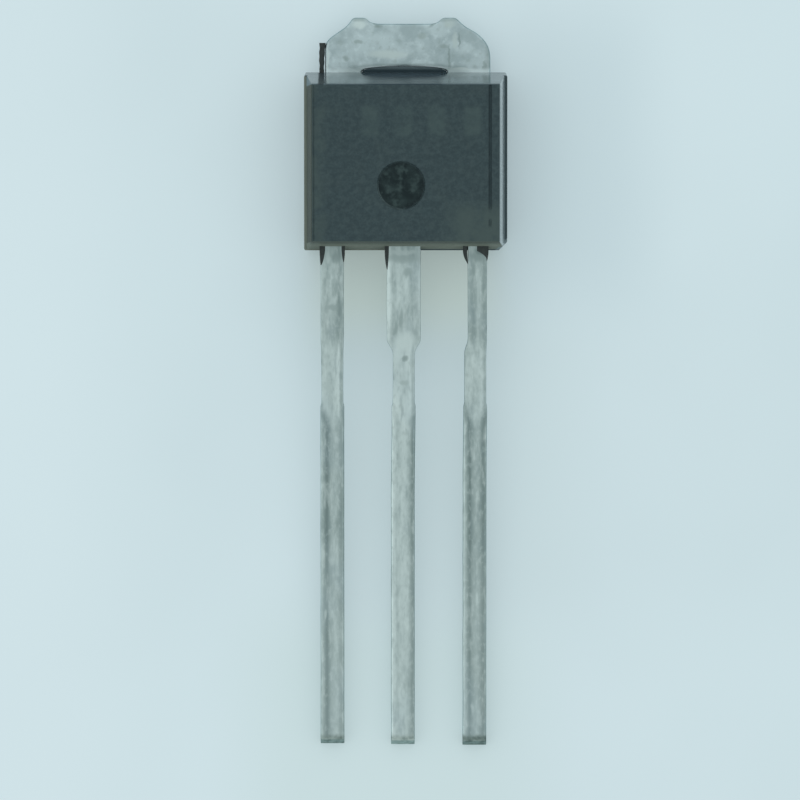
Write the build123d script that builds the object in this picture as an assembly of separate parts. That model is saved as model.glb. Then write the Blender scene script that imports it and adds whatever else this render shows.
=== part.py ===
from build123d import *
import os
from math import hypot, radians, tan

# A through-hole power transistor with long straight leads, in millimetres.
# Origin: on the bare back of the heat sink, at the middle of the moulded body.
# +X across the leads, +Y towards the tab, +Z out of the front face.

# --- stamped lead frame --------------------------------------------------------
strip_t = 0.55            # sheet thickness, the same in all three pieces
lead_pitch = 2.286        # lead centre to lead centre
lead_rise = 1.00          # back of the tab up to the back of the leads
lead_length = 15.87       # from the body to the tips
tail_w = 0.760            # leads below the second tie bar
trim_w = 0.70             # leads between the two tie bars
root_w = 0.74             # outer leads beside the body
drain_root_w = 1.08       # middle lead beside the body
source_root_cut = 0.13    # the source lead's inner edge is cut back by this much
tie_bar_y = 2.88          # first tie bar, down from the body
tie_bar_2_y = 4.88        # second tie bar, down from the body
shoulder_run = 0.34       # length of the slope where a lead changes width
tip_bevel = 0.16          # sheared bevel on the front edge of each tip
tip_bevel_depth = 0.22
frame_shift = -0.06       # the whole lead frame lies this far off the body's middle

# --- tab and paddle, one piece with the middle lead ------------------------------
tab_reach = 1.58          # tab past the body
tab_left = 2.515          # tab edges, from the middle lead
tab_right = 2.77
tab_corner_run = 0.92     # sloped tab corners
tab_corner_rise = 0.66
tab_corner_rise_right = 0.82
tab_corner_round = 0.35
stub_spacing = 2.87       # broken tie-bar stubs on the tab's end
stub_base_w = 0.66
stub_top_w = 0.40
stub_h = 0.165
stub_root = 0.20          # a stub's sloped sides run down this far beside the tab's end
stub_round = 0.07
lock_w = 2.73             # slot through the tab that the resin locks into
lock_h = 0.42
lock_show = 0.18          # how much of it shows past the body
paddle_end = 1.35         # paddle's lower edge, down from the body's middle
coin_side = 0.20          # coined step round the paddle's back
coin_depth = 0.22
neck_w = 1.70             # neck at the paddle
neck_run = 1.05           # length over which the neck climbs
neck_bend_r = 0.20        # inner radius of its two bends

# --- moulded body ----------------------------------------------------------------
body_w = 6.50             # at the parting line
body_h = 5.68
body_t = 2.30
draft = 5.8               # degrees, front half at the sides
lead_draft = 12.2         # degrees, front half at the lead end
tab_draft = 11.2          # degrees, front half over the tab
back_draft = 3.0          # degrees, back half
ledge = 0.11              # the back half stands proud by this much at the sides
lead_ledge = 0.03         # and by this much at the lead end
chip_off = 0.27           # broken corner of that ledge
chip_off_low = 0.45       # the break starts this high
chip_off_high = 0.30      # and reaches this far up the front half
pin_mark_r = 0.76         # ejector pin mark
pin_mark_depth = 0.10
pin_mark_x = -0.145
pin_mark_y = -0.73
seam_depth = 0.035        # lines left by the edges of the mould's insert
seam_left_x = -2.93
seam_left_w = 0.06
seam_right_x = 2.74
seam_right_w = 0.12
seam_right_stop = -2.20   # the right line fades out before the lead end
lock_sink = 0.03          # resin in the slot lies this much under the tab's front
flash_w = 0.20            # resin squeezed out beside the tab
flash_reach = 0.95
flash_step = 0.05         # and thinner than the tab by this much front and back
web_min = 0.35            # resin wall between the leads' inner ends and the outside
film_t = 0.03             # resin film left on the leads where they come out
# lead (-1 gate, 0 drain, 1 source), edge, film over the lead, past its edge, length
films = [
    (-1, -1, 0.15, 0.03, 0.46), (-1, 1, 0.08, 0.04, 0.36), (0, -1, 0.07, 0.07, 0.60),
    (1, -1, 0.03, 0.16, 0.42), (1, 1, 0.32, 0.05, 0.31),
]

# --- silicon chip and its connections ---------------------------------------------
solder_t = 0.05
solder_rim = 0.10         # solder shows round the chip by this much
chip_w = 2.00
chip_h = 2.40
chip_t = 0.25
chip_y = 0.45
post_w = 1.55             # inner ends of the outer leads
post_h = 0.85
post_round = 0.12
source_wire_d = 0.30
source_pad_x = 0.25       # middle of each wire's foot on the chip
source_pad_y = 0.10
gate_wire_d = 0.15
gate_pad_x = -0.70
gate_pad_y = -0.45
foot_length = 2.0         # a bond foot, in wire diameters
foot_width = 1.30
foot_height = 0.62
loop_rise = 0.55          # a wire's straight runs would meet this far over its higher foot
arch_r = 0.55             # inner bend at the top of the arch, along the wire's middle

# --- places that follow from the sizes ---------------------------------------------
body_half_w = body_w / 2
body_half_h = body_h / 2
front_h = body_t - lead_rise
lead_top = lead_rise + strip_t
lead_mid = lead_rise + strip_t / 2
tip_y = -body_half_h - lead_length
tie_y = -body_half_h - tie_bar_y
tie_2_y = -body_half_h - tie_bar_2_y
tab_end_y = body_half_h + tab_reach
neck_end_y = -paddle_end - neck_run
post_y = -body_half_h + web_min + post_h / 2
post_x = lead_pitch - (post_w - root_w) / 2
chip_top = strip_t + solder_t + chip_t


def across(outline):
    """A prism the full width of the part, from an outline of (y, z) points."""
    face = make_face(Polyline(*outline, close=True))
    return extrude(Plane.YZ * face, amount=body_w, both=True)


def along(outline):
    """A prism the full length of the body, from an outline of (x, z) points."""
    face = make_face(Polyline(*outline, close=True))
    return extrude(Plane.XZ * face, amount=body_h, both=True)


def slab(face, low, high):
    """A plan view (x, y) made solid between two heights."""
    return extrude(Plane.XY.offset(low) * face, amount=high - low)


def lead_strip(start, left, right):
    """Plan view of one lead about its own middle, from a start height down to the tip."""
    trim = trim_w / 2
    tail = tail_w / 2
    flare = tie_2_y - (tail_w - trim_w)
    edge = [
        (tie_y, left, right), (tie_y - shoulder_run, trim, trim),
        (tie_2_y, trim, trim), (flare, tail, tail), (tip_y, tail, tail),
    ]
    down = [(-left, start)] + [(-wide, y) for y, wide, _ in edge]
    up = [(wide, y) for y, _, wide in reversed(edge)] + [(right, start)]
    return make_face(Polyline(*down, *up, close=True))


def bevelled(lead):
    """The same lead with the sheared bevel on the front edge of its tip."""
    wedge = [(tip_y, lead_top), (tip_y + tip_bevel, lead_top), (tip_y, lead_top - tip_bevel_depth)]
    return lead - across(wedge)


def outer_lead(side, left, right):
    """Gate (-1) or source (+1) lead: a straight strip with a wide post inside the body."""
    strip = Pos(side * lead_pitch, 0) * lead_strip(post_y, left, right)
    post = Pos(side * post_x, post_y) * RectangleRounded(post_w, post_h, post_round)
    return bevelled(slab(strip + post, lead_rise, lead_top))


def tab_plate():
    """Plan view of tab and paddle: sloped corners, two broken stubs and the lock slot."""
    plate = make_face(Polyline(
        (-tab_left, -paddle_end), (tab_right, -paddle_end),
        (tab_right, tab_end_y - tab_corner_rise_right),
        (tab_right - tab_corner_run, tab_end_y), (-tab_left + tab_corner_run, tab_end_y),
        (-tab_left, tab_end_y - tab_corner_rise), close=True,
    ))
    outer = plate.vertices().filter_by(lambda v: v.Y > 0)
    plate = fillet(outer, tab_corner_round)
    root_half = stub_base_w / 2 + (stub_base_w - stub_top_w) / 2 * stub_root / stub_h
    stub = make_face(Polyline(
        (-root_half, -stub_root), (-stub_top_w / 2, stub_h), (stub_top_w / 2, stub_h),
        (root_half, -stub_root), close=True,
    ))
    stub = fillet(stub.vertices().group_by(Axis.Y)[-1], stub_round)
    for side in (-1, 1):
        plate += Pos(side * stub_spacing / 2, tab_end_y) * stub
    return plate - lock_slot()


def lock_slot():
    """Plan view of the oval slot that the resin fills."""
    return Pos(0, body_half_h + lock_show - lock_h / 2) * Ellipse(lock_w / 2, lock_h / 2)


def drain_plan():
    """Plan view of the whole drain piece: plate, tapering neck and middle lead."""
    half = drain_root_w / 2
    neck = make_face(Polyline(
        (-neck_w / 2, -paddle_end), (neck_w / 2, -paddle_end),
        (half, neck_end_y), (-half, neck_end_y), close=True,
    ))
    return tab_plate() + neck + lead_strip(neck_end_y, half, half)


def drain_frame():
    """Tab, paddle, climbing neck and middle lead, stamped and bent from one strip."""
    middle = FilletPolyline(
        (tip_y, lead_mid), (neck_end_y, lead_mid), (-paddle_end, strip_t / 2),
        (tab_end_y + stub_h, strip_t / 2), radius=neck_bend_r + strip_t / 2,
    )
    bent = extrude(Plane.YZ * trace(middle, line_width=strip_t), amount=body_w, both=True)
    frame = bevelled(bent & slab(drain_plan(), -strip_t, body_t))
    return frame - paddle_coin()


def paddle_coin():
    """The step pressed round the paddle's back, inside the body, that the resin grips."""
    stop = body_half_h - coin_side
    outer = Pos((tab_right - tab_left) / 2, (stop - paddle_end) / 2) * Rectangle(
        tab_left + tab_right, stop + paddle_end)
    inner = Pos((tab_right - tab_left) / 2, (stop - paddle_end + coin_side) / 2) * Rectangle(
        tab_left + tab_right - 2 * coin_side, stop + paddle_end - coin_side)
    keep = Pos(0, -paddle_end) * Rectangle(neck_w, 2 * coin_side)
    return slab(outer - inner - keep, 0, coin_depth)


def chip_block(grow, low, thick):
    """The chip's rectangle, grown all round, as a block on the paddle."""
    return slab(Pos(0, chip_y) * Rectangle(chip_w + 2 * grow, chip_h + 2 * grow), low, low + thick)


def bond_wire(start, end, diameter):
    """A bonded wire: a flattened foot at each end, kinked up into a rounded arch."""
    run = hypot(end[0] - start[0], end[1] - start[1])
    heading = Vector(end[0] - start[0], end[1] - start[1], 0).normalized()
    upright = Plane(origin=(start[0], start[1], 0), x_dir=heading,
                    z_dir=heading.cross(Vector(0, 0, 1)))
    foot = foot_length * diameter
    lift = 0.55 * diameter
    top = max(start[2], end[2]) + loop_rise
    rise = (foot, start[2] + lift)
    fall = (run - foot, end[2] + lift)
    arch = FilletPolyline(rise, (run / 2, top), fall, radius=arch_r)
    path = upright * Wire([
        Line((0, rise[1]), rise), *arch.edges(), Line(fall, (run, fall[1])),
    ])
    wire = sweep(Plane(path @ 0, z_dir=path % 0) * Circle(diameter / 2), path=path,
                 transition=Transition.RIGHT)
    for place, base in ((0, start[2]), (run, end[2])):
        middle = upright * Pos(place, base + foot_height * diameter / 2, 0)
        wire += middle * Box(foot, foot_height * diameter, foot_width * diameter)
    return wire


def body_outside():
    """The moulded block: drafted front half, back half with its ledge, flush at the tab."""
    lean = tan(radians(draft))
    lead_lean = tan(radians(lead_draft))
    tab_lean = tan(radians(tab_draft))
    back_in = tan(radians(back_draft))
    side = [
        (body_half_w - lead_rise * back_in, 0), (body_half_w, lead_rise),
        (body_half_w - ledge, lead_rise), (body_half_w - ledge - front_h * lean, body_t),
    ]
    lead_end = [
        (-body_half_h + lead_rise * back_in, 0), (-body_half_h, lead_rise),
        (-body_half_h + lead_ledge, lead_rise),
        (-body_half_h + lead_ledge + front_h * lead_lean, body_t),
    ]
    tab_end = [
        (body_half_h - (body_t - strip_t) * tab_lean, body_t), (body_half_h, strip_t),
        (body_half_h - strip_t * back_in, 0),
    ]
    block = along(side + [(-x, z) for x, z in reversed(side)]) & across(lead_end + tab_end)
    corner = Pos(body_half_w, -body_half_h) * Rot(Z=45) * Rectangle(
        chip_off * 2 ** 0.5, chip_off * 2 ** 0.5)
    return block - slab(corner, chip_off_low, lead_rise + chip_off_high)


def front_marks():
    """What is sunk in the front face: the pin mark and the two insert lines."""
    pin = Pos(pin_mark_x, pin_mark_y) * Circle(pin_mark_r)
    sunk = slab(pin, body_t - pin_mark_depth, body_t + seam_depth)
    left = Pos(seam_left_x, 0) * Rectangle(seam_left_w, body_h)
    right_length = body_half_h - seam_right_stop
    right = Pos(seam_right_x, seam_right_stop + right_length / 2) * Rectangle(
        seam_right_w, right_length)
    return sunk + slab(left + right, body_t - seam_depth, body_t + seam_depth)


def film_plan(lead, edge, over, past, length):
    """Plan view of the resin film that tapers down one edge of a lead."""
    half = drain_root_w / 2 if lead == 0 else root_w / 2
    if lead == 1 and edge == -1:
        half -= source_root_cut
    rim = lead * lead_pitch + edge * half
    inner = rim - edge * over
    outer = rim + edge * past
    inside = -body_half_h + web_min
    return make_face(Polyline(
        (inner, inside), (inner, -body_half_h), (rim, -body_half_h - length),
        (outer, -body_half_h), (outer, inside), close=True,
    ))


def moulded_body(held):
    """The resin: outside, plug, squeezed-out resin and films, less what it holds."""
    shift = Pos(frame_shift, 0)
    resin = body_outside() - front_marks()
    resin += shift * slab(lock_slot(), 0, strip_t - lock_sink)
    flash = Pos(-tab_left - flash_w / 2, body_half_h) * Rectangle(flash_w, 2 * flash_reach)
    resin += shift * slab(flash, flash_step, strip_t - flash_step)
    for film in films:
        resin += shift * slab(film_plan(*film), lead_rise, lead_top + film_t)
    for piece in held:
        resin -= piece
    return resin


def build():
    """Every piece by name; the body is moulded round the others last."""
    root = root_w / 2
    parts = {
        "drain_frame": drain_frame(),
        "gate_lead": outer_lead(-1, root, root),
        "source_lead": outer_lead(1, root - source_root_cut, root),
        "die_attach": chip_block(solder_rim, strip_t, solder_t),
        "mosfet_die": chip_block(0, strip_t + solder_t, chip_t),
        "gate_bond_wire": bond_wire(
            (gate_pad_x, gate_pad_y, chip_top), (-post_x, post_y, lead_top), gate_wire_d),
        "source_bond_wire": bond_wire(
            (source_pad_x, source_pad_y, chip_top), (post_x, post_y, lead_top),
            source_wire_d),
    }
    parts = {name: Pos(frame_shift, 0) * piece for name, piece in parts.items()}
    parts["moulded_body"] = moulded_body(list(parts.values()))
    return parts


os.makedirs("parts", exist_ok=True)
for name, shape in build().items():
    export_step(shape, f"parts/{name}.step")
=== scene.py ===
import bmesh
import bpy
import numpy as np
from mathutils import Matrix, Vector


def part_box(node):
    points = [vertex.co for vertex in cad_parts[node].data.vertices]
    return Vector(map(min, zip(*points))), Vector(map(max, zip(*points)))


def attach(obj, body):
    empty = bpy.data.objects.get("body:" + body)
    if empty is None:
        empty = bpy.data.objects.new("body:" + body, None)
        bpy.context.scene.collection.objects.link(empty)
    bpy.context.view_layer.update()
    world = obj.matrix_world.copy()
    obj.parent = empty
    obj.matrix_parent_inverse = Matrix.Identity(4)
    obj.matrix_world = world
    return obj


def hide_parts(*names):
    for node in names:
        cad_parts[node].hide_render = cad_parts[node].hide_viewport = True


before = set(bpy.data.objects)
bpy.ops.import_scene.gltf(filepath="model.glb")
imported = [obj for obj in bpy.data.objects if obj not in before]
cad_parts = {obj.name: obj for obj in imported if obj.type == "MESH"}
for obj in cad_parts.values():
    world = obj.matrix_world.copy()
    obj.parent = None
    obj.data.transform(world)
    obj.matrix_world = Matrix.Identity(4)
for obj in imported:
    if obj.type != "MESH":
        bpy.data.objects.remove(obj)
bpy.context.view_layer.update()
mm = 0.001


# --- where it lies, and the camera ------------------------------------------------
# The part lies loose on its back on a pale sheet. It rests on the lower back edge of
# the resin and on the ends of the leads, which stand higher, so it leans a little.
rest_edge_y = -2.788
lead_back = 1.00
tip_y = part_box("gate_lead")[0].y / mm
floor_lean = np.arctan2(lead_back, rest_edge_y - tip_y)
# the camera looks straight down on that leaning plane, at a point on the front
aim = (-0.181, -7.61, 1.5)
camera_far = 200.0
view_width = 25.575
sensor = 36.0


def leaning(angle):
    """Axes across, along and square to a plane that leans back by an angle about X."""
    return Matrix((
        (1, 0, 0),
        (0, np.cos(angle), np.sin(angle)),
        (0, -np.sin(angle), np.cos(angle)),
    ))


camera = bpy.data.objects.new("camera", bpy.data.cameras.new("camera"))
bpy.context.collection.objects.link(camera)
turned = leaning(floor_lean)
camera.matrix_world = Matrix.Translation(
    (Vector(aim) + turned @ Vector((0, 0, camera_far))) * mm) @ turned.to_4x4()
camera.data.sensor_width = sensor
camera.data.lens = sensor * camera_far / view_width
camera.data.clip_start = 0.01
camera.data.clip_end = 20
bpy.context.scene.camera = camera
bpy.context.scene.view_settings.view_transform = "Standard"


# --- sheet under the part, and the light -------------------------------------------
# A pale sheet of card, matt, much larger than the part, with painted shade and light in
# places. The light is a soft tent: bright half way up, a little less overhead and dim near the
# sheet.
sheet_size = 3000.0
sheet_tone = (206, 225, 230)
sheet_glow = 0.30


class Shade:
    """One value in a node tree. Plus, minus, times and divided by put in the Math nodes."""

    def __init__(self, tree, socket=None):
        self.tree = tree
        self.socket = socket

    def node(self, kind, settings=(), sockets=(), out=0):
        """Adds a node: its settings first, then a value or a link for each socket named."""
        made = self.tree.nodes.new(kind)
        for key, value in dict(settings).items():
            if key == "stops":
                made.color_ramp.elements.remove(made.color_ramp.elements[1])
                made.color_ramp.elements[0].position = value[0][0]
                made.color_ramp.elements[0].color = value[0][1]
                for place, colour in value[1:]:
                    made.color_ramp.elements.new(place).color = colour
            else:
                setattr(made, key, value)
        for key, value in dict(sockets).items():
            if isinstance(value, Shade):
                self.tree.links.new(value.socket, made.inputs[key])
            else:
                made.inputs[key].default_value = value
        return Shade(self.tree, made.outputs[out] if made.outputs else None)

    def maths(self, operation, first, second=0.0):
        return self.node("ShaderNodeMath", {"operation": operation}, {0: first, 1: second})

    def __add__(self, other):
        return self.maths("ADD", self, other)

    __radd__ = __add__

    def __sub__(self, other):
        return self.maths("SUBTRACT", self, other)

    def __rsub__(self, other):
        return self.maths("SUBTRACT", other, self)

    def __mul__(self, other):
        return self.maths("MULTIPLY", self, other)

    __rmul__ = __mul__

    def __truediv__(self, other):
        return self.maths("DIVIDE", self, other)

    def __abs__(self):
        return self.maths("ABSOLUTE", self)

    def most(self, other):
        """The larger of the two, which joins one mask to another."""
        return self.maths("MAXIMUM", self, other)

    def root(self):
        return self.maths("SQRT", self)

    def ramp(self, stops):
        """A colour that changes along this value, from a list of (value, colour) stops."""
        low, high = stops[0][0], stops[-1][0]
        places = [((place - low) / (high - low), colour) for place, colour in stops]
        share = self.node("ShaderNodeMapRange", (), {
            "Value": self, "From Min": low, "From Max": high})
        return self.node("ShaderNodeValToRGB", {"stops": places}, {0: share})

    def rise(self, low, high):
        """0 below low, 1 above high and smooth between; high may be the lower one."""
        return self.node("ShaderNodeMapRange", {"interpolation_type": "SMOOTHSTEP"},
                         {"Value": self, "From Min": low, "From Max": high})

    def near(self, middle, half, soft):
        """1 within half of the middle, fading out over the soft width."""
        return abs(self - middle).rise(half + soft, half)

    def noise(self, scale, detail=2.0, stretch=(1, 1, 1), shift=0.0):
        """Cloudy noise about a half, this many spots to a millimetre, at this place."""
        placed = self.node("ShaderNodeMapping", (), {
            "Vector": self, "Scale": stretch, "Location": (shift, shift * 0.7, shift * 1.3)})
        return self.node("ShaderNodeTexNoise", (), {
            "Vector": placed, "Scale": scale, "Detail": detail})


def paint(red, green, blue):
    """A colour given by its screen values, 0 to 255, as the light that it sends back."""
    part = np.array([red, green, blue]) / 255
    part = np.where(part < 0.04045, part / 12.92, ((part + 0.055) / 1.055) ** 2.4)
    return (*[float(v) for v in part], 1.0)


def laid(under, over, mask):
    """One colour laid over another where the mask is 1."""
    host = next(v for v in (mask, over, under) if isinstance(v, Shade))
    mix = host.tree.nodes.new("ShaderNodeMix")
    mix.data_type = "RGBA"
    for key, value in ((0, mask), (6, under), (7, over)):
        if isinstance(value, Shade):
            host.tree.links.new(value.socket, mix.inputs[key])
        else:
            mix.inputs[key].default_value = value
    return Shade(host.tree, mix.outputs[2])


def seen_ray(start, *kinds):
    """1 for a ray that comes from the camera or is of one of these kinds, and else 0."""
    seen = start.node("ShaderNodeLightPath", out="Is Camera Ray")
    for kind in kinds:
        seen = seen.most(start.node("ShaderNodeLightPath", out=kind))
    return seen


def finish_started(name):
    """A new material, and the place on its piece in millimetres: whole, then x, y and z."""
    material = bpy.data.materials.new(name)
    material.use_nodes = True
    material.node_tree.nodes.clear()
    start = Shade(material.node_tree)
    metres = start.node("ShaderNodeTexCoord", out="Object")
    at = start.node("ShaderNodeVectorMath", {"operation": "SCALE"},
                    {0: metres, "Scale": 1 / mm})
    split = start.node("ShaderNodeSeparateXYZ", (), {0: at})
    axes = [Shade(split.tree, split.socket.node.outputs[k]) for k in range(3)]
    return material, at, *axes


def finish_ended(material, **sockets):
    """Joins a Principled shader with these sockets to the material's output."""
    start = Shade(material.node_tree)
    named = {key.replace("_", " "): value
             for key, value in sockets.items()}
    surface = start.node("ShaderNodeBsdfPrincipled", (), named)
    start.node("ShaderNodeOutputMaterial", (), {"Surface": surface})


def relief(at, height, depth):
    """A Bump normal from a height of 0 to 1 that stands for this depth in millimetres."""
    return at.node("ShaderNodeBump", (), {
        "Strength": 1.0, "Distance": depth * mm, "Height": height})


def woven(name, sheets, finishes, sharp=0.6):
    """A mesh from grids of points in millimetres. Every four neighbours make a face, and
    each grid's columns close on themselves if it is marked as closed. Points that meet are
    merged, and faces that turn by more than the sharp angle meet at a crisp edge. The
    number with each grid says which of the finishes it has."""
    points, faces, coats, first = [], [], [], 0
    for grid, closed, coat in sheets:
        rows, columns = grid.shape[:2]
        index = first + np.arange(rows * columns).reshape(rows, columns)
        if closed:
            index = np.concatenate([index, index[:, :1]], axis=1)
        faces.append(np.stack([
            index[:-1, :-1], index[:-1, 1:], index[1:, 1:], index[1:, :-1],
        ], axis=-1).reshape(-1, 4))
        coats.append(np.full(len(faces[-1]), coat))
        points.append(grid.reshape(-1, 3) * mm)
        first += rows * columns
    mesh = bpy.data.meshes.new(name)
    mesh.from_pydata(np.concatenate(points), [], np.concatenate(faces))
    mesh.polygons.foreach_set("material_index", np.concatenate(coats))
    for finish in finishes:
        mesh.materials.append(finish)
    closed_up = bmesh.new()
    closed_up.from_mesh(mesh)
    bmesh.ops.remove_doubles(closed_up, verts=closed_up.verts, dist=1e-8)
    bmesh.ops.recalc_face_normals(closed_up, faces=closed_up.faces)
    closed_up.to_mesh(mesh)
    closed_up.free()
    mesh.polygons.foreach_set("use_smooth", np.ones(len(mesh.polygons), bool))
    mesh.set_sharp_from_angle(angle=sharp)
    piece = bpy.data.objects.new(name, mesh)
    bpy.context.collection.objects.link(piece)
    return piece


sheet_side = np.linspace(-0.5, 0.5, 3) * sheet_size
sheet_x, sheet_up = np.meshgrid(sheet_side, sheet_side)
sheet_grid = np.stack([
    sheet_x, rest_edge_y + sheet_up * np.cos(floor_lean), -sheet_up * np.sin(floor_lean),
], axis=-1)
card, at, x, y, z = finish_started("pale_card")
fleck = at.noise(0.05, 3)
tone = laid(paint(*sheet_tone), paint(200, 219, 224), fleck.rise(0.35, 0.75))
# faint patches: a painted warm tint in the shade between the leads' roots, a painted shadow
# at the right of the body, darker lower down round the leads, and paler at the left
tone = laid(tone, paint(209, 226, 221), x.near(0.0, 1.8, 2.0) * y.near(-3.6, 0.8, 2.6) * 0.85)
tone = laid(tone, paint(192, 212, 218), x.near(5.4, 0.8, 3.0) * y.near(0.2, 2.6, 4.0) * 0.6)
tone = laid(tone, paint(199, 219, 221), x.near(-0.5, 2.5, 4.0) * y.rise(-12.5, -16.5) * 0.8)
tone = laid(tone, paint(198, 217, 221), x.near(1.5, 2.5, 3.0) * y.near(-10.0, 3.0, 3.0) * 0.7)
tone = laid(tone, paint(211, 229, 234), x.rise(-7.0, -12.5) * 0.6)
matt = at.node("ShaderNodeBsdfDiffuse", (), {"Color": tone})
glow = at.node("ShaderNodeEmission", (), {"Color": tone})
# painted light: the sheet glows more beside the tab and further down the leads, which lifts its
# shade there
painted_light_by_tab = x.near(0.0, 2.6, 2.2) * y.near(3.8, 0.8, 1.8)
lit = seen_ray(at, "Is Glossy Ray", "Is Transmission Ray") * (
    sheet_glow + y.rise(-4.0, -8.0) * 0.25 + painted_light_by_tab * 0.15)
card_look = at.node("ShaderNodeMixShader", (), {0: lit, 1: matt, 2: glow})
at.node("ShaderNodeOutputMaterial", (), {"Surface": card_look})
sheet = woven("sheet", [(sheet_grid, False, 0)], [card])

tent = bpy.data.worlds.new("tent")
bpy.context.scene.world = tent
tent.use_nodes = True
tent.node_tree.nodes.clear()
start = Shade(tent.node_tree)
facing = start.node("ShaderNodeTexCoord")
height = start.node("ShaderNodeSeparateXYZ", (), {0: facing}, out=2)
aside = Shade(tent.node_tree, height.socket.node.outputs[0])
overhead = 0.80
levels = height.ramp([
    (0.00, (0.34, 0.35, 0.35, 1)), (0.12, (0.45, 0.46, 0.46, 1)),
    (0.35, (1.02, 1.03, 1.03, 1)), (0.70, (1.16, 1.17, 1.17, 1)),
    (1.00, (overhead, overhead * 1.01, overhead * 1.01, 1)),
])
soft = start.node("ShaderNodeBackground", (), {
    "Color": levels, "Strength": 1.0 - aside * 0.08})
pale = start.node("ShaderNodeBackground", (), {"Color": paint(*sheet_tone), "Strength": 1.0})
both = start.node("ShaderNodeMixShader", (), {
    0: seen_ray(start, "Is Transmission Ray"), 1: soft, 2: pale})
start.node("ShaderNodeOutputWorld", (), {"Surface": both})


# --- tab, paddle and middle lead ------------------------------------------------------
# One piece of copper strip, stamped, bent and then tin plated. The tab and the paddle
# are a plate with a slot that the resin locks into; a neck climbs from the paddle to
# the middle lead. Two broken stubs show where the strip went on to the next part.
frame_shift = -0.06
strip_t = 0.55
half_high = 2.84
paddle_low, neck_low, neck_half = -1.35, -2.40, 0.85
tab_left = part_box("drain_frame")[0].x / mm
tab_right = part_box("drain_frame")[1].x / mm
tab_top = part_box("drain_frame")[1].y / mm
tab_end = 4.42
slot = (frame_shift + 0.02, half_high - 0.03, 1.37, 0.21)
tab_outline = [
    (tab_left, paddle_low), (tab_right, paddle_low), (tab_right, tab_end - 0.80),
    (tab_right - 0.35, tab_end - 0.36), (tab_right - 0.81, tab_end - 0.12),
    (1.60, tab_top), (1.19, tab_top), (1.01, tab_end), (0.83, tab_end - 0.03),
    (-0.91, tab_end - 0.03), (-1.13, tab_end + 0.01), (-1.29, tab_top), (-1.68, tab_top),
    (-1.90, tab_end - 0.12), (tab_left + 0.13, tab_end - 0.49), (tab_left, tab_end - 0.69),
    (tab_left, paddle_low),
]
tab_rounds = (
    0.1, 0.35, 0.3, 0.2, 0.09, 0.09, 0.12, 0.1, 0.1, 0.12, 0.09, 0.09, 0.15, 0.2, 0.2)
coin_side, coin_depth = 0.20, 0.22
tab_edge = 0.05


def eased(corners, radii, step):
    """Points along a bent line with rounded corners, in any number of dimensions. Each
    corner c gives way to the curve (1-t)^2 a + 2t(1-t) c + t^2 b between the points a and
    b, a radius before and after it, and straight runs are divided into steps."""
    corners = np.asarray(corners, float)
    line = [corners[:1]]
    bend = np.linspace(0, 1, 6)[:, None]
    for before, here, after, radius in zip(corners, corners[1:], corners[2:], radii):
        back = min(radius / np.linalg.norm(before - here), 0.5)
        on = min(radius / np.linalg.norm(after - here), 0.5)
        a = here + (before - here) * back
        b = here + (after - here) * on
        line.append((1 - bend) ** 2 * a + 2 * bend * (1 - bend) * here + bend ** 2 * b)
    line = np.concatenate([*line, corners[-1:]])
    run = np.r_[0, np.cumsum(np.linalg.norm(np.diff(line, axis=0), axis=1))]
    stops = np.unique(np.r_[run, np.arange(0, run[-1], step)].round(7))
    return np.stack([np.interp(stops, run, line[:, k]) for k in range(line.shape[1])], axis=1)


def ruled(low, high, step, fine):
    """Grid lines from low to high, a step apart, with closer ones in the fine zones."""
    lines = [np.linspace(low, high, int((high - low) / step) + 1)]
    lines += [np.arange(max(a, low), min(b, high), closer) for a, b, closer in fine]
    lines = np.unique(np.concatenate(lines))
    kept = np.r_[True, np.diff(lines) > 0.006]
    kept[-1] = True
    return lines[kept]


def smooth(value, low, high):
    """0 below low, 1 above high, and 3t^2 - 2t^3 between."""
    t = np.clip((value - low) / (high - low), 0, 1)
    return t * t * (3 - 2 * t)


def slot_rim(bearing):
    """The slot's oval |x/a|^3 + |y/b|^3 = 1 where a ray from its middle meets it."""
    x, y, wide, high = slot
    reach = (abs(np.cos(bearing) / wide) ** 3 + abs(np.sin(bearing) / high) ** 3) ** (-1 / 3)
    return np.stack([x + reach * np.cos(bearing), y + reach * np.sin(bearing)], axis=-1)


def plate_grid():
    """The plate's section carried round from the slot's wall over the top, round the outer
    edge and back underneath: each ray from the slot's middle to the outline carries it."""
    outline = eased(tab_outline, tab_rounds, 0.03)[:-1]
    outer = outline[:, None, :]
    inner = slot_rim(np.arctan2(outline[:, 1] - slot[1], outline[:, 0] - slot[0]))[:, None, :]
    ray = outer - inner
    way = ray / np.linalg.norm(ray, axis=-1, keepdims=True)
    e = tab_edge
    top = [(share, 0.0, strip_t, 0) for share in np.linspace(0.06, 0.90, 24)]
    under = [(share, 0.0, 0.0, 0) for share in np.linspace(0.90, 0.06, 12)]
    # share of the ray, distance back along it, height, and depth of the coined step
    share, back, level, coin = np.array([
        (0, 0.0, e, 0), (0, 0.0, strip_t - 0.07, 0), (0, -0.01, strip_t - 0.035, 0),
        (0, -0.03, strip_t - 0.012, 0), (0, -0.07, strip_t, 0), *top,
        (1, 1.6 * e, strip_t, 0), (1, 0.6 * e, strip_t - 0.25 * e, 0),
        (1, 0.0, strip_t - e, 0), (1, 0.0, e, coin_depth - e), (1, e, 0.0, coin_depth),
        (1, coin_side - e, 0.0, coin_depth), (1, coin_side, 0.0, coin_depth - e),
        (1, coin_side + 0.01, 0.0, 0), *under, (0, -e, 0.0, 0), (0, 0.0, e, 0),
    ]).T[:, None, :, None]
    flat = inner + ray * share - way * back
    held = smooth(outline[:, 1], half_high - coin_side + 0.02, half_high - coin_side - 0.02)
    level = level + coin * held[:, None, None]
    return np.concatenate([flat, level + 0 * flat[..., :1]], axis=-1).transpose(1, 0, 2)


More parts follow.
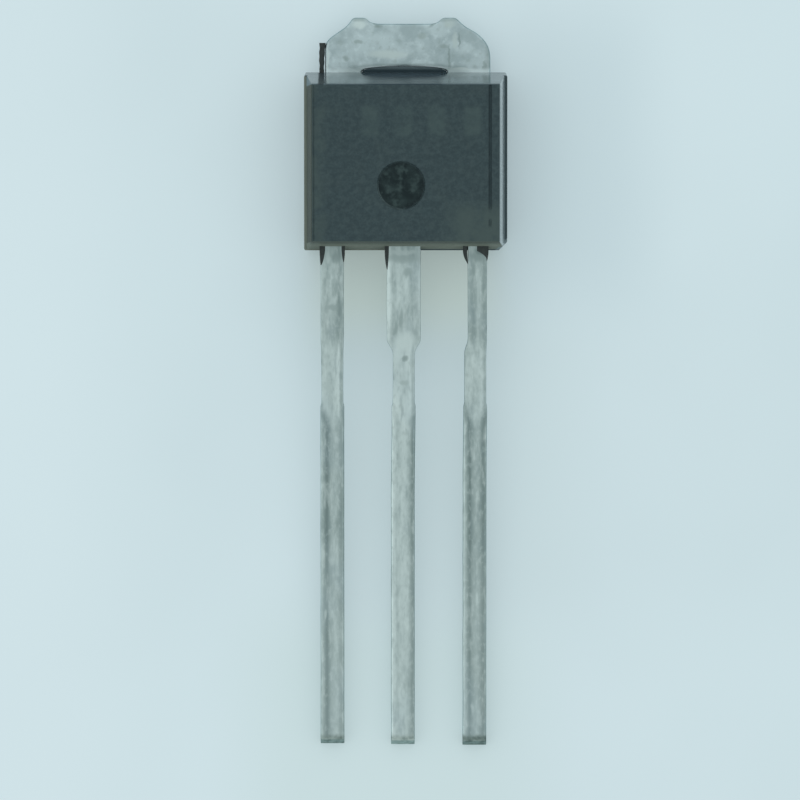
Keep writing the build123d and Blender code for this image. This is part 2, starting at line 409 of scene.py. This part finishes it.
def bar(stations, left, right, low, high, edge, crown=0.0):
    """A closed bar along Y. At each station the section is a box with corners rounded to
    the edge radius and a top that falls by the crown, as a square of the share across,
    towards both sides. Its ends close on the section's middle."""
    turn = np.linspace(0, np.pi / 2, 6)
    side = np.linspace(1, -1, 15)
    rise = np.linspace(-1, 1, 5)[1:-1]
    quarter = [np.cos(turn), np.sin(turn)]
    unit_x = np.concatenate([side[1:-1], -1 + 0 * turn, -1 + 0 * rise, -1 + 0 * turn,
                             side[::-1][1:-1], 1 + 0 * turn, 1 + 0 * rise, 1 + 0 * turn])
    unit_z = np.concatenate([1 + 0 * side[1:-1], 1 + 0 * turn, rise[::-1], -1 + 0 * turn,
                             -1 + 0 * side[1:-1], -1 + 0 * turn, rise, 1 + 0 * turn])
    out_x = np.concatenate([0 * side[1:-1], -quarter[1], -1 + 0 * rise, -quarter[0],
                            0 * side[1:-1], quarter[1], 1 + 0 * rise, quarter[0]])
    out_z = np.concatenate([1 + 0 * side[1:-1], quarter[0], 0 * rise, -quarter[1],
                            -1 + 0 * side[1:-1], -quarter[0], 0 * rise, quarter[1]])
    y, left, right, low, high, edge, crown = [
        v[:, None] for v in np.broadcast_arrays(
            np.asarray(stations, float), left, right, low, high, edge, crown)]
    half_x, half_z = (right - left) / 2, (high - low) / 2
    x = (left + right) / 2 + unit_x * (half_x - edge) + out_x * edge
    z = (low + high) / 2 + unit_z * (half_z - edge) + out_z * edge
    share = (x - (left + right) / 2) / half_x
    z = z - crown * share ** 2 * np.clip(unit_z, 0, 1)
    shell = np.stack([x, y + 0 * x, z], axis=-1)
    ends = shell[[0, -1]].mean(axis=1, keepdims=True) + 0 * shell[[0, -1]]
    return np.concatenate([ends[:1], shell, ends[1:]])


# half widths of the middle lead beside the body, of the trimmed length and of the tails,
# and where the two strips between the leads were cut away
drain_half, trim_half, tail_half = 0.54, 0.35, 0.38
first_cut, second_cut = -half_high - 2.88, -half_high - 4.88
tip_bevel = 0.22


def lead_bar(middle, root_left, root_right, inner, drift, seed, tip):
    """One lead: its two edges are bent lines along Y with eased shoulders, its front edge
    is sheared off at the tip, and the dipped tail is rounder than the trimmed length. The
    inner list goes on inside the body: place, the two edges and the height of the back."""
    stations = ruled(tip, inner[-1][0], 0.06, [
        (tip, tip + 0.3, 0.012), (second_cut - 0.3, second_cut + 0.2, 0.02),
        (first_cut - 0.6, first_cut + 0.3, 0.02)])
    below = [(tip - 1, tail_half), (second_cut - 0.09, tail_half), (second_cut, trim_half),
             (first_cut - 0.34, trim_half)]
    rounds = (0.04, 0.04, 0.12, 0.08) + (0.03,) * len(inner)
    edges = []
    for root, part in ((root_left, 1), (root_right, 2)):
        bends = below + [(first_cut, root), (inner[0][0] - 0.01, root)]
        bends = bends + [(place[0], place[part]) for place in inner]
        line = eased(bends, rounds, 0.5)
        edges.append(np.interp(stations, line[:, 0], line[:, 1]))
    outside = stations < -half_high
    waves = sum(np.sin(stations * k + seed * k) / k for k in (2.1, 4.7, 9.3)) * outside
    slide = drift * smooth(stations, second_cut + 0.5, second_cut - 3.0)
    left = middle - edges[0] + 0.005 * waves + slide
    right = middle + edges[1] - 0.006 * waves[::-1] ** 2 + slide
    dipped = smooth(stations, second_cut - 0.1, second_cut - 0.9)
    rise = np.array([place[3] for place in inner])
    low = np.interp(stations, [inner[0][0] - 0.01, *[p[0] for p in inner]], [lead_back, *rise])
    high = low + strip_t - tip_bevel * smooth(stations, tip + 0.17, tip - 0.02)
    blunt = smooth(stations, tip + 0.02, tip + 0.25)
    return bar(stations, left, right, low, high, 0.03 + 0.025 * dipped * blunt, 0.02 * dipped)


def tin_tone(level, cold=0):
    """Tin that mirrors the tent overhead at this level of green on the screen, 0 to 255.
    A cold tone has that much more blue and a third as much less red."""
    light = paint(level - 18 - cold / 3, level, level - 1 + cold)
    return (*[part / (1.1 * overhead) for part in light[:3]], 1.0)


def lead_finish(name, middle, above, trimmed, tail, tip_level, blots):
    """Tin above and solder below. Three ramps across the lead give the streaks of the root,
    of the trimmed length and of the dipped tail, partly the tin's own streaks and partly
    painted shade and reflection of its rounded faces and edges; in the dip's pointed start the
    tail's streaks lie wider apart. Blots are (across, along, half width, half length, level)."""
    finish, at, x, y, z = finish_started(name)
    wander = at.noise(1.3, 2, (0.2, 0.7, 0.2), middle)
    u = x - middle + (wander - 0.5) * 0.05
    ramps = [[(place, tin_tone(level)) for place, level in stops]
             for stops in (above, trimmed, tail)]
    tone = laid(u.ramp(ramps[0]), u.ramp(ramps[1]), y.rise(first_cut + 0.25, first_cut - 0.35))
    spread = 1.0 - y.rise(second_cut - 0.95, second_cut) * 0.3
    dip = y + (tail_half - abs(u)) * 1.7
    tone = laid(tone, (u * spread).ramp(ramps[2]), dip.rise(second_cut + 0.22, second_cut - 0.34))
    cloud = at.noise(2.6, 3, (1.0, 0.38, 1.0), middle + 5)
    tone = laid(tone, tin_tone(115), cloud.rise(0.50, 0.80) * 0.38)
    tone = laid(tone, tin_tone(216), cloud.rise(0.50, 0.22) * 0.28)
    streak = at.noise(6, 3, (1.2, 0.24, 1.0), middle + 2)
    tone = laid(tone, tin_tone(128, 4), streak.rise(0.52, 0.72) * 0.32)
    tone = laid(tone, tin_tone(212), streak.rise(0.48, 0.28) * 0.27)
    grit = at.noise(9, 2, (1.0, 0.5, 1.0), middle)
    tone = laid(tone, tin_tone(130), grit.rise(0.50, 0.70) * 0.20)
    tone = laid(tone, tin_tone(208), grit.rise(0.50, 0.30) * 0.18)
    tone = laid(tone, tin_tone(200), y.rise(-11.8, -13.4) * 0.12)
    blueing = at.noise(0.8, 2, (1.0, 0.5, 1.0), middle + 8)
    tone = laid(tone, tin_tone(168, 10), blueing.rise(0.48, 0.68) * 0.16)
    for across, along, wide, long, level in blots:
        spot = ((x - middle + (cloud - 0.5) * 0.2) - across) / wide
        reach = (y - along + (cloud - 0.5) * 0.2) / long
        tone = laid(tone, tin_tone(level), (spot * spot + reach * reach).rise(1.7, 0.0) * 0.85)
    # the sheared end: darker bare cut metal, with painted shade where its bevel slopes away
    sheared = y + (streak - 0.5) * 0.16
    cut_end_and_shade = laid(tin_tone(tip_level - 30, -3), tin_tone(tip_level + 12, -3),
                at.noise(7).rise(0.25, 0.75))
    tone = laid(tone, cut_end_and_shade, sheared.rise(tip_y + 0.42, tip_y + 0.24) * 0.85)
    # painted shade on the lead just outside the body
    dim = y.rise(-half_high - 0.55, -half_high - 0.1)
    tone = laid(tone, tin_tone(120), dim * 0.35)
    finish_ended(finish, Base_Color=tone, Metallic=1.0, Roughness=cloud * 0.16 + 0.30,
                 Normal=relief(at, cloud + grit * 0.25, 0.012))
    return finish


middle_lead_tin = lead_finish("tin_on_middle_lead", frame_shift, [
    (-0.54, 200), (-0.46, 202), (-0.41, 186), (-0.35, 168), (-0.29, 169), (-0.21, 181),
    (0.08, 182), (0.17, 174), (0.26, 161), (0.35, 156), (0.42, 167), (0.54, 178),
], [
    (-0.40, 180), (-0.37, 178), (-0.33, 185), (-0.27, 194), (-0.11, 192), (0.05, 191),
    (0.15, 194), (0.19, 200), (0.23, 194), (0.27, 177), (0.30, 168), (0.34, 180),
], [
    (-0.40, 204), (-0.37, 200), (-0.34, 192), (-0.29, 186), (-0.24, 178), (-0.21, 176),
    (-0.14, 180), (-0.05, 186), (0.05, 185), (0.11, 179), (0.17, 169), (0.21, 157), (0.24, 145),
    (0.27, 134), (0.30, 138), (0.34, 156), (0.38, 172),
], 158, [
    (-0.06, -4.95, 0.06, 0.30, 152), (-0.22, -5.25, 0.07, 0.22, 152),
    (0.05, -6.27, 0.09, 0.10, 146), (0.02, -7.03, 0.15, 0.08, 168),
    # the two wide blots below: a painted shade band under a painted highlight just outside the
    # body, for a small step in the lead that the mesh does not have
    (-0.05, -3.10, 0.50, 0.14, 160), (-0.02, -2.88, 0.46, 0.08, 184),
    (0.03, -5.72, 0.34, 0.30, 194), (0.12, -3.50, 0.12, 0.14, 154),
])
tab_tin, at, x, y, z = finish_started("tin_on_tab")
cloud = at.noise(1.7, 4, shift=3.0)
fleck = at.noise(5.0, 3, shift=9.0)
grit = at.noise(20, 2)
tone = laid(tin_tone(164, 4), tin_tone(185, 4), cloud.rise(0.34, 0.64))
tone = laid(tone, tin_tone(154), fleck.rise(0.54, 0.74) * 0.45)
tone = laid(tone, tin_tone(204, 4), fleck.rise(0.46, 0.30) * 0.35)
tone = laid(tone, tin_tone(145), grit.rise(0.55, 0.8) * 0.2)
# dents, creases and rubbed places: (x, y, half width, half length, level); the dents and
# creases are painted as their shade and highlight
for dent_x, dent_y, wide, long, level in (
        (1.39, 3.32, 0.035, 0.38, 142), (1.72, 3.86, 0.035, 0.22, 138),
        (1.58, 3.86, 0.07, 0.25, 184), (1.22, 3.66, 0.16, 0.07, 148),
        (-0.87, 4.30, 0.14, 0.05, 150), (0.51, 4.00, 0.13, 0.10, 158),
        (-1.50, 3.85, 0.14, 0.06, 154), (-1.92, 3.29, 0.11, 0.10, 150),
        (-2.30, 2.93, 0.12, 0.06, 148), (2.54, 3.06, 0.07, 0.16, 150),
        (1.75, 2.93, 0.35, 0.05, 200), (-2.50, 3.20, 0.05, 0.50, 192),
        (-0.60, 3.42, 0.60, 0.14, 192), (-1.49, 4.38, 0.20, 0.14, 203),
        (1.40, 4.38, 0.18, 0.13, 184)):
    spot = (x + (fleck - 0.5) * 0.2 - dent_x) / wide
    reach = (y + (cloud - 0.5) * 0.2 - dent_y) / long
    tone = laid(tone, tin_tone(level), (spot * spot + reach * reach).rise(1.8, 0.0) * 0.75)
# painted shade along the tab's right edge, along its top end and on the stubs' flanks
tone = laid(tone, tin_tone(136), x.rise(2.50, 2.68) * 0.5)
tone = laid(tone, tin_tone(150), y.rise(tab_top - 0.16, tab_top - 0.06) * 0.55)
for stub_x in (-1.485, 1.395):
    flank = (abs(x - stub_x) * 0.8 + y).near(tab_top + 0.20, 0.01, 0.07)
    tone = laid(tone, tin_tone(138), flank * y.rise(tab_end - 0.20, tab_end - 0.05) * 0.6)
tone = laid(tone, tin_tone(212, 4), y.rise(3.02, 2.88) * 0.7)
# painted shade where the slot's rim rolls over, and painted light on its upper edge that
# lifts the shade there
slot_x, slot_y = abs(x - slot[0]) / slot[2], abs(y - slot[1]) / slot[3]
rim = slot_x * slot_x * slot_x + slot_y * slot_y * slot_y
tone = laid(tone, tin_tone(110), rim.rise(4.6, 1.4) * 0.5)
painted_light_on_rim = rim.rise(2.2, 1.3) * y.rise(2.95, 3.00)
tone = laid(tone, paint(160, 178, 182), painted_light_on_rim * 0.9)
finish_ended(tab_tin, Base_Color=tone, Metallic=1.0 - painted_light_on_rim * 0.9, Roughness=cloud * 0.2 + 0.30,
             Normal=relief(at, cloud + fleck * 0.5, 0.010))

drain = woven("tab_and_middle_lead", [
    (plate_grid(), True, 0),
    (lead_bar(frame_shift, drain_half, drain_half, [
        (neck_low - 0.06, drain_half, drain_half, lead_back),
        (neck_low, drain_half, drain_half, lead_back - 0.02),
        (paddle_low, neck_half, neck_half, 0.02),
        (paddle_low + 0.07, neck_half, neck_half, 0.005),
    ], -0.03, 1.0, tip_y + 0.02), True, 1),
], [tab_tin, middle_lead_tin])
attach(drain, "root")
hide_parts("drain_frame")


# --- gate lead and source lead -----------------------------------------------------------
# Straight strips of the same tinned copper, each with a wide post inside the resin for
# its wire. The strip between the leads was trimmed away at two places, which left the
# shoulders, and the tails were dipped in solder.
lead_pitch = 2.286
root_half, root_cut = 0.37, 0.13
post_low, post_end, post_half, post_in = -2.49, -1.64, 0.775, 0.405
gate_x, source_x = frame_shift - lead_pitch, frame_shift + lead_pitch
gate_tin = lead_finish("tin_on_gate_lead", gate_x, [
    (-0.37, 178), (-0.29, 171), (-0.22, 161), (-0.10, 169), (-0.03, 171), (0.10, 159),
    (0.17, 151), (0.21, 145), (0.24, 145), (0.29, 154), (0.37, 164),
], [
    (-0.36, 168), (-0.30, 184), (-0.06, 183), (0.06, 184), (0.15, 189), (0.19, 197),
    (0.23, 188), (0.27, 162), (0.29, 156), (0.34, 172),
], [
    (-0.40, 190), (-0.36, 174), (-0.33, 166), (-0.27, 150), (-0.22, 133), (-0.18, 123),
    (-0.15, 125), (-0.10, 145), (-0.04, 161), (0.05, 170), (0.13, 171), (0.19, 164), (0.24, 154),
    (0.29, 150), (0.32, 150), (0.38, 160),
], 138, [
    (-0.14, -3.05, 0.08, 0.20, 186), (0.02, -4.65, 0.2, 0.1, 154), (-0.1, -7.2, 0.1, 0.15, 176),
    (-0.23, -14.5, 0.04, 0.16, 178), (0.10, -3.10, 0.12, 0.18, 146),
])
source_tin = lead_finish("tin_on_source_lead", source_x, [
    (-0.32, 176), (-0.26, 172), (-0.22, 162), (-0.16, 154), (-0.10, 150), (-0.05, 148),
    (0.0, 154), (0.06, 166), (0.11, 169), (0.16, 166), (0.22, 156), (0.26, 149),
    (0.32, 148), (0.37, 158),
], [
    (-0.40, 166), (-0.35, 164), (-0.30, 176), (-0.24, 180), (0.11, 180), (0.17, 188),
    (0.21, 189), (0.25, 174), (0.285, 157), (0.34, 168),
], [
    (-0.40, 196), (-0.37, 190), (-0.34, 178), (-0.30, 166), (-0.25, 145), (-0.20, 127),
    (-0.16, 123), (-0.11, 143), (-0.03, 159), (0.05, 167), (0.10, 164), (0.15, 152), (0.19, 144),
    (0.22, 134), (0.26, 129), (0.30, 132), (0.34, 150), (0.38, 160),
], 120, [
    (0.36, -5.29, 0.03, 0.1, 134), (0.1, -4.2, 0.05, 0.5, 176), (0.05, -3.05, 0.2, 0.15, 146),
    (0.17, -2.86, 0.20, 0.12, 118), (0.05, -14.0, 0.05, 0.22, 190),
])
gate = woven("gate_lead_dressed", [(lead_bar(gate_x, root_half, root_half, [
    (post_low, root_half, root_half, lead_back),
    (post_low + 0.03, post_half - post_in, post_half + post_in, lead_back),
    (post_end, post_half - post_in, post_half + post_in, lead_back),
], 0.0, 2.0, tip_y + 0.05), True, 0)], [gate_tin])
source = woven("source_lead_dressed", [(lead_bar(source_x, root_half - root_cut, root_half, [
    (post_low, root_half - root_cut, root_half, lead_back),
    (post_low + 0.03, post_half + post_in, post_half - post_in, lead_back),
    (post_end, post_half + post_in, post_half - post_in, lead_back),
], -0.02, 3.0, tip_y), True, 0)], [source_tin])
for piece, node in ((gate, "gate_lead"), (source, "source_lead")):
    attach(piece, "root")
    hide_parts(node)


# --- chip, its solder and its wires --------------------------------------------------------
# Inside the resin: a sawn silicon chip on a thin pad of soft solder, and two drawn
# aluminium wires pressed on to it and on to the posts.
silicon, at, x, y, z = finish_started("sawn_silicon")
saw_lines = at.noise(8, 2, (1.0, 1.0, 9.0))
cells = at.noise(12, 1, (1.0, 1.0, 0.1))
finish_ended(silicon, Base_Color=laid(paint(70, 72, 84), paint(122, 126, 140), cells),
             Metallic=0.4, Roughness=saw_lines * 0.3 + 0.1, Normal=relief(at, saw_lines, 0.004))
solder, at, x, y, z = finish_started("soft_solder")
crust = at.noise(9, 3)
finish_ended(solder, Base_Color=laid(paint(150, 152, 154), paint(196, 198, 200), crust),
             Metallic=1.0, Roughness=crust * 0.3 + 0.3, Normal=relief(at, crust, 0.006))
wire_metal, at, x, y, z = finish_started("drawn_aluminium")
draw_marks = at.noise(14, 2, (1.0, 0.3, 1.0))
finish_ended(wire_metal, Base_Color=laid(paint(205, 208, 212), paint(232, 234, 236), draw_marks),
             Metallic=1.0, Roughness=draw_marks * 0.2 + 0.2, Normal=relief(at, draw_marks, 0.002))
for node, finish, slot_name in (
        ("mosfet_die", silicon, "silicon"), ("die_attach", solder, "solder"),
        ("gate_bond_wire", wire_metal, "bond_aluminium"),
        ("source_bond_wire", wire_metal, "bond_aluminium")):
    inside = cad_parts[node]
    inside.data.materials.clear()
    inside.data.materials.append(finish)


# --- moulded body -------------------------------------------------------------------
# A block of dark filled epoxy moulded round the chip and the lead frame. Its back half
# stands proud of the front half by a small ledge, its walls lean in so that it leaves
# the mould, and the front carries the round mark of an ejector pin.
half_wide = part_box("moulded_body")[1].x / mm
body_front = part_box("moulded_body")[1].z / mm
wall_lean = np.tan(np.radians(7.1))
lead_end_lean = np.tan(np.radians(12.2))
tab_end_lean = np.tan(np.radians(11.2))
back_lean = np.tan(np.radians(3.0))
ledge, low_ledge = 0.08, 0.03
body_corner = 0.05
face_edge = 0.06
pin_x, pin_y, pin_r, pin_depth = -0.145, -0.73, 0.76, 0.10
left_seam, right_seam = (-2.935, 0.04), (2.685, 0.05)
broken_corner = 0.27
front_h = body_front - lead_back
face_in = ledge + front_h * wall_lean
face_low_in = low_ledge + front_h * lead_end_lean
face_tab_in = (body_front - strip_t) * tab_end_lean


def cornered(x, y, left, right, low, high, radius):
    """Places in a box whose square corners are drawn in to quarter circles: a point at
    (i, j) from a corner's centre moves to max(i, j) along its own direction."""
    i = np.maximum(left + radius - x, 0) + np.maximum(x - right + radius, 0)
    j = np.maximum(low + radius - y, 0) + np.maximum(y - high + radius, 0)
    spare = 1 - np.maximum(i, j) / np.maximum(np.hypot(i, j), 1e-9)
    spare = np.where((i > 0) & (j > 0), spare, 0)
    x = x + np.where(x < (left + right) / 2, i, -i) * spare
    y = y + np.where(y < (low + high) / 2, j, -j) * spare
    return x, y


def body_grids():
    """The front face is a height over a grid. Its rim goes on as rings that follow the
    wall's profile: each ring has the grid's own rim points, spread to that level's box."""
    inset, low_inset, tab_inset = (d + face_edge for d in (face_in, face_low_in, face_tab_in))
    across = ruled(-half_wide + inset, half_wide - inset, 0.05, [
        (left_seam[0] - 0.04, left_seam[0] + 0.07, 0.0125),
        (right_seam[0] - 0.08, right_seam[0] + 0.08, 0.0125), (pin_x - 0.83, pin_x + 0.83, 0.02)])
    along = ruled(-half_high + low_inset, half_high - tab_inset, 0.05, [
        (pin_y - 0.83, pin_y + 0.83, 0.02)])
    x, y = np.meshgrid(across, along)
    sunk = pin_depth * smooth(np.hypot(x - pin_x, y - pin_y), pin_r + 0.02, pin_r - 0.03)
    left = smooth(abs(x - left_seam[0]), left_seam[1], left_seam[1] * 0.3)
    left = left * smooth(x, across[0], across[1])
    right = smooth(abs(x - right_seam[0]), right_seam[1], right_seam[1] * 0.5)
    right = right * (smooth(y, -1.53, -1.45) + 0.7 * smooth(abs(y + 1.92), 0.18, 0.10))
    front = body_front - sunk - 0.02 * left - 0.035 * right
    rim_box = across[0], across[-1], along[0], along[-1]
    face_x, face_y = cornered(x, y, *rim_box, body_corner - face_edge)
    face = np.stack([face_x, face_y, front], axis=-1)

    right_x, left_x = across[-1] + 0 * along, across[0] + 0 * along
    low_y, high_y = along[0] + 0 * across, along[-1] + 0 * across
    rim_x = np.r_[across[:-1], right_x[:-1], across[:0:-1], left_x[:0:-1]]
    rim_y = np.r_[low_y[:-1], along[:-1], high_y[:0:-1], along[:0:-1]]
    base_in, mid_in = back_lean * lead_back, back_lean * (lead_back - strip_t)
    tab_in = (lead_back - strip_t) * tab_end_lean
    r = body_corner
    # in from the widest outline: sides, lead end, tab end; then height, corner and share.
    # The ledge's inner ring stands a hair higher, so that no face there is without area.
    profile = eased([
        (base_in, base_in, 0.02, 0.01, r, 0.0), (base_in, base_in, 0.02, 0.01, r, 0.5),
        (base_in, base_in, 0.02, 0.01, r, 1.0), (mid_in, mid_in, 0.0, strip_t, r, 1.0),
        (0.0, 0.0, tab_in, lead_back, r, 1.0),
        (ledge, low_ledge, tab_in, lead_back + 0.002, r, 1.0),
        (face_in, face_low_in, face_tab_in, body_front, r, 1.0),
        (inset, low_inset, tab_inset, body_front, r - face_edge, 1.0),
    ], (0.02, 0.05, 0.05, 0.025, 0.02, face_edge), 0.15)
    side, low_side, tab_side, level, corner, share = profile.T[:, :, None]
    left, right = -half_wide + side, half_wide - side
    low, high = -half_high + low_side, half_high - tab_side
    part_x = (rim_x - rim_box[0]) / (rim_box[1] - rim_box[0])
    part_y = (rim_y - rim_box[2]) / (rim_box[3] - rim_box[2])
    x, y = cornered(left + part_x * (right - left), low + part_y * (high - low),
                    left, right, low, high, corner)
    x, y = x * share, y * share
    # the broken corner: what lies beyond a slanting line is drawn back on to it
    line = half_wide + half_high - broken_corner - 0.10 * smooth(level, 1.0, 1.3)
    beyond = np.maximum(x - y - line, 0) * smooth(level, 1.45, 1.25)
    walls = np.stack([x - beyond / 2, y + beyond / 2, level + 0 * x], axis=-1)
    walls[-1, :, 2] = np.r_[front[0, :-1], front[:-1, -1], front[-1, :0:-1], front[:0:-1, 0]]
    return [(face, False, 0), (walls, True, 0)]


def slot_resin_grid():
    """The resin in the slot: the slot's oval as rings that close on the middle of its top
    and of its back."""
    bearing = np.linspace(0, 2 * np.pi, 97)[:-1]
    share, level = np.array([(0, 0.50), (0.5, 0.50), (0.9, 0.515), (0.99, 0.52), (1, 0.50),
                             (1, 0.02), (0.98, 0.01), (0, 0.01)]).T[:, :, None, None]
    middle = np.array(slot[:2])
    flat = middle + (slot_rim(bearing) - middle) * share
    return np.concatenate([flat, level + 0 * flat[..., :1]], axis=-1)


def film_grid(middle, half, edge, over, past, length, bend):
    """A resin film along one edge of a lead, from inside the body to a point on the edge.
    Its inner side closes in as a power, the bend, of the share of its length still left."""
    rim = middle + edge * half
    stations = np.r_[-half_high + 0.3, np.linspace(-half_high, -half_high - length, 24)]
    gone = np.clip((-half_high - stations) / length, 0, 1)
    a = rim - edge * over * (1 - gone) ** bend
    b = rim + edge * past * (1 - gone ** 2)
    left, right = np.minimum(a, b), np.maximum(a, b) + 0.004
    edge_r = np.minimum(0.02, (right - left) * 0.45)
    top = lead_back + strip_t + 0.03 - 0.02 * gone
    return bar(stations, left, right, lead_back + 0.02, top, edge_r)


def flash_grid():
    """The thin bar of resin squeezed out beside the tab: its width swells and narrows."""
    stations = np.linspace(half_high - 0.4, 3.78, 60)
    ripple = 0.006 * np.sin(stations * 9) + 0.006 * np.sin(stations * 23)
    left = tab_left - 0.188 + ripple
    right = tab_left - 0.04 + 0.05 * smooth(stations, 3.2, 3.75) + ripple[::-1]
    return bar(stations, left, right, 0.05, 0.57, 0.03)


resin, at, x, y, z = finish_started("moulded_resin")
grain = at.noise(14, 3)
cloud = at.noise(1.3, 3)
patch = at.noise(2.4, 3, (1.0, 1.0, 1.0), 7.0)
face = z.rise(body_front - 0.16, body_front - 0.12)
tone = laid(paint(43, 56, 59), paint(50, 65, 68), grain.rise(0.3, 0.7))
tone = laid(tone, paint(53, 66, 67), patch.rise(0.5, 0.75) * 0.4)
blush = at.noise(5.5, 2, shift=2.0)
tone = laid(tone, paint(38, 51, 55), blush.rise(0.45, 0.70) * 0.6)
tone = laid(tone, paint(56, 70, 72), blush.rise(0.50, 0.25) * 0.6)
# faint soft fields where the print was, and a paler bloom at one corner and down one side
columns = x.near(-1.13, 0.17, 0.20) + x.near(-0.08, 0.17, 0.20) + x.near(0.98, 0.17, 0.20)
field = y.near(1.31, 0.34, 0.24) * (columns + x.near(2.13, 0.17, 0.20))
tone = laid(tone, paint(62, 78, 77), field * (0.16 + patch.rise(0.30, 0.60) * 0.34))
bloom = x.rise(0.8, 2.0) * y.rise(-1.0, -1.8) * (0.35 + patch.rise(0.25, 0.55) * 0.5)
bloom = bloom.most(x.rise(-2.35, -2.80) * patch.rise(0.30, 0.6) * 0.6)
tone = laid(tone, paint(61, 75, 73), bloom)
right_line = y.rise(-1.75, -1.2) * (0.55 + patch.rise(0.3, 0.5) * 0.4)
right_line = right_line + y.near(-1.92, 0.06, 0.12) * 0.6
# painted shade in the seam grooves, over the grooves' own shading
seam_shade = x.near(left_seam[0], 0.01, 0.05) * 0.12 + x.near(right_seam[0], 0.02, 0.06) * right_line
tone = laid(tone, paint(20, 32, 36), seam_shade * face * 0.75)
# the pin mark: its floor painted darker and mottled, a painted shade and dark reflection in
# the recess, and a rim that is paler towards the lower left
in_x, in_y = x - pin_x, y - pin_y
away = (in_x * in_x + in_y * in_y).root()
painted_dark_pin_floor = laid(paint(0, 12, 14), paint(32, 46, 46), patch.rise(0.38, 0.70) * 0.65)
painted_dark_pin_floor = laid(painted_dark_pin_floor, paint(36, 50, 50), grain.rise(0.5, 0.8) * 0.5)
spotted = at.noise(4.0, 2, shift=4.0)
painted_dark_pin_floor = laid(painted_dark_pin_floor, paint(54, 70, 69), spotted.rise(0.46, 0.72) * 0.6)
tone = laid(tone, painted_dark_pin_floor, away.rise(pin_r, pin_r - 0.06) * z.rise(2.0, 2.1))
pale_rim_side = away.near(pin_r - 0.01, 0.012, 0.03) * (in_x + in_y).rise(-0.45, -0.95)
tone = laid(tone, paint(84, 101, 102), pale_rim_side * cloud.rise(0.35, 0.5) * 0.6)
# walls, told apart by the planes they lie in: rough and brown at the left and the lead end,
# glossy and paler at the right and over the tab. The right wall's pale tone is a painted
# reflection of the sheet, the left wall's pale upper end a painted reflection of the tab, and
# over the slot the tab wall is painted darker towards the face, a painted dark reflection of
# the slot
up = z - lead_back
on_left = (x - up * wall_lean).near(ledge - half_wide, 0.012, 0.02) * up.rise(0.0, 0.03)
on_low = (y - up * lead_end_lean).near(low_ledge - half_high, 0.012, 0.02)
on_right = (x + up * wall_lean).near(half_wide - ledge, 0.012, 0.02) * up.rise(0.0, 0.03)
on_tab = (y + (z - strip_t) * tab_end_lean).near(half_high, 0.012, 0.02) * z.rise(0.55, 0.58)
on_ledge = up.near(0.0, 0.02, 0.02) * (1.0 - y.rise(half_high - 0.15, half_high - 0.1))
level_row = y - z * 0.063
broken = (x - y).rise(half_wide + half_high - broken_corner - 0.14,
                      half_wide + half_high - broken_corner - 0.11) * z.rise(1.5, 1.4)
mottle = cloud * 0.6 + grain * 0.5
brown = laid(paint(88, 97, 88), paint(114, 124, 114), mottle)
brown = laid(brown, paint(62, 72, 67), z.rise(1.7, 2.25) * 0.8)
tone = laid(tone, laid(paint(52, 60, 54), paint(74, 80, 72), mottle), on_left)
# painted reflection of the tab on the left wall's upper end
tone = laid(tone, paint(106, 124, 130), on_left * level_row.rise(2.31, 2.36))
tone = laid(tone, brown, on_low.most(on_ledge * x.rise(0.0, -0.5)))
tone = laid(tone, brown, on_left * level_row.rise(-2.65, -2.70))
tone = laid(tone, paint(50, 64, 68), on_ledge * x.rise(0.0, 0.5))
over_slot = x.near(slot[0], slot[2] - 0.35, 0.35)
# painted dark reflection of the slot on the tab wall, darker towards the face
shaded = laid(paint(58, 73, 81), paint(38, 52, 60), z.rise(0.9, 1.5))
tone = laid(tone, laid(paint(60, 76, 82), shaded, over_slot), on_tab)
# painted reflection of the sheet on the right wall
tone = laid(tone, paint(116, 132, 136), on_right)
smear = x.near(-2.70, 0.05, 0.07) * on_tab
tone = laid(tone, paint(24, 28, 26), smear * (0.2 + cloud.rise(0.3, 0.6) * 0.5))
tone = laid(tone, paint(112, 130, 134), broken * 0.8)
# the resin in the slot, with painted shade: darker next to the body, paler towards the slot's far
# edge
plug_with_painted_shade = laid(paint(28, 43, 50), paint(92, 108, 113), y.rise(slot[1] + 0.08, slot[1] + 0.20))
tone = laid(tone, plug_with_painted_shade, y.rise(half_high, half_high + 0.01))
rough = 0.5 + on_low.most(on_left) * 0.15 - on_tab * (1.0 - smear) * 0.38 - on_right * 0.15
glaze = on_tab * (1.0 - smear) * (0.85 - over_slot * 0.70 - z.rise(1.8, 2.3) * 0.35)
glaze = glaze.most(on_right)
finish_ended(resin, Base_Color=tone, Roughness=rough,
             Coat_Weight=glaze, Coat_Roughness=0.14,
             Specular_Tint=(0.70, 0.95, 1.0, 1.0), Specular_IOR_Level=0.3,
             Normal=relief(at, grain * (0.4 + on_low.most(on_left)) + cloud, 0.012))
squeezed, at, x, y, z = finish_started("squeezed_resin")
ragged = at.noise(9, 3)
finish_ended(squeezed, Base_Color=laid(paint(27, 36, 36), paint(53, 63, 62), ragged),
             Roughness=0.75 - ragged * 0.2, Specular_IOR_Level=0.3,
             Normal=relief(at, ragged, 0.02))

body = woven("body", body_grids() + [
    (slot_resin_grid(), True, 0), (flash_grid(), True, 1),
    (film_grid(gate_x, root_half, -1, 0.14, 0.03, 0.46, 0.5), True, 1),
    (film_grid(gate_x, root_half, 1, 0.07, 0.03, 0.36, 0.5), True, 1),
    (film_grid(frame_shift, drain_half, -1, 0.06, 0.07, 0.60, 0.5), True, 1),
    (film_grid(source_x, root_half - root_cut, -1, -0.03, 0.155, 0.42, 0.5), True, 1),
    (film_grid(source_x, root_half, 1, 0.32, 0.045, 0.31, 2.0), True, 1),
], [resin, squeezed])
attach(body, "root")
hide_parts("moulded_body")
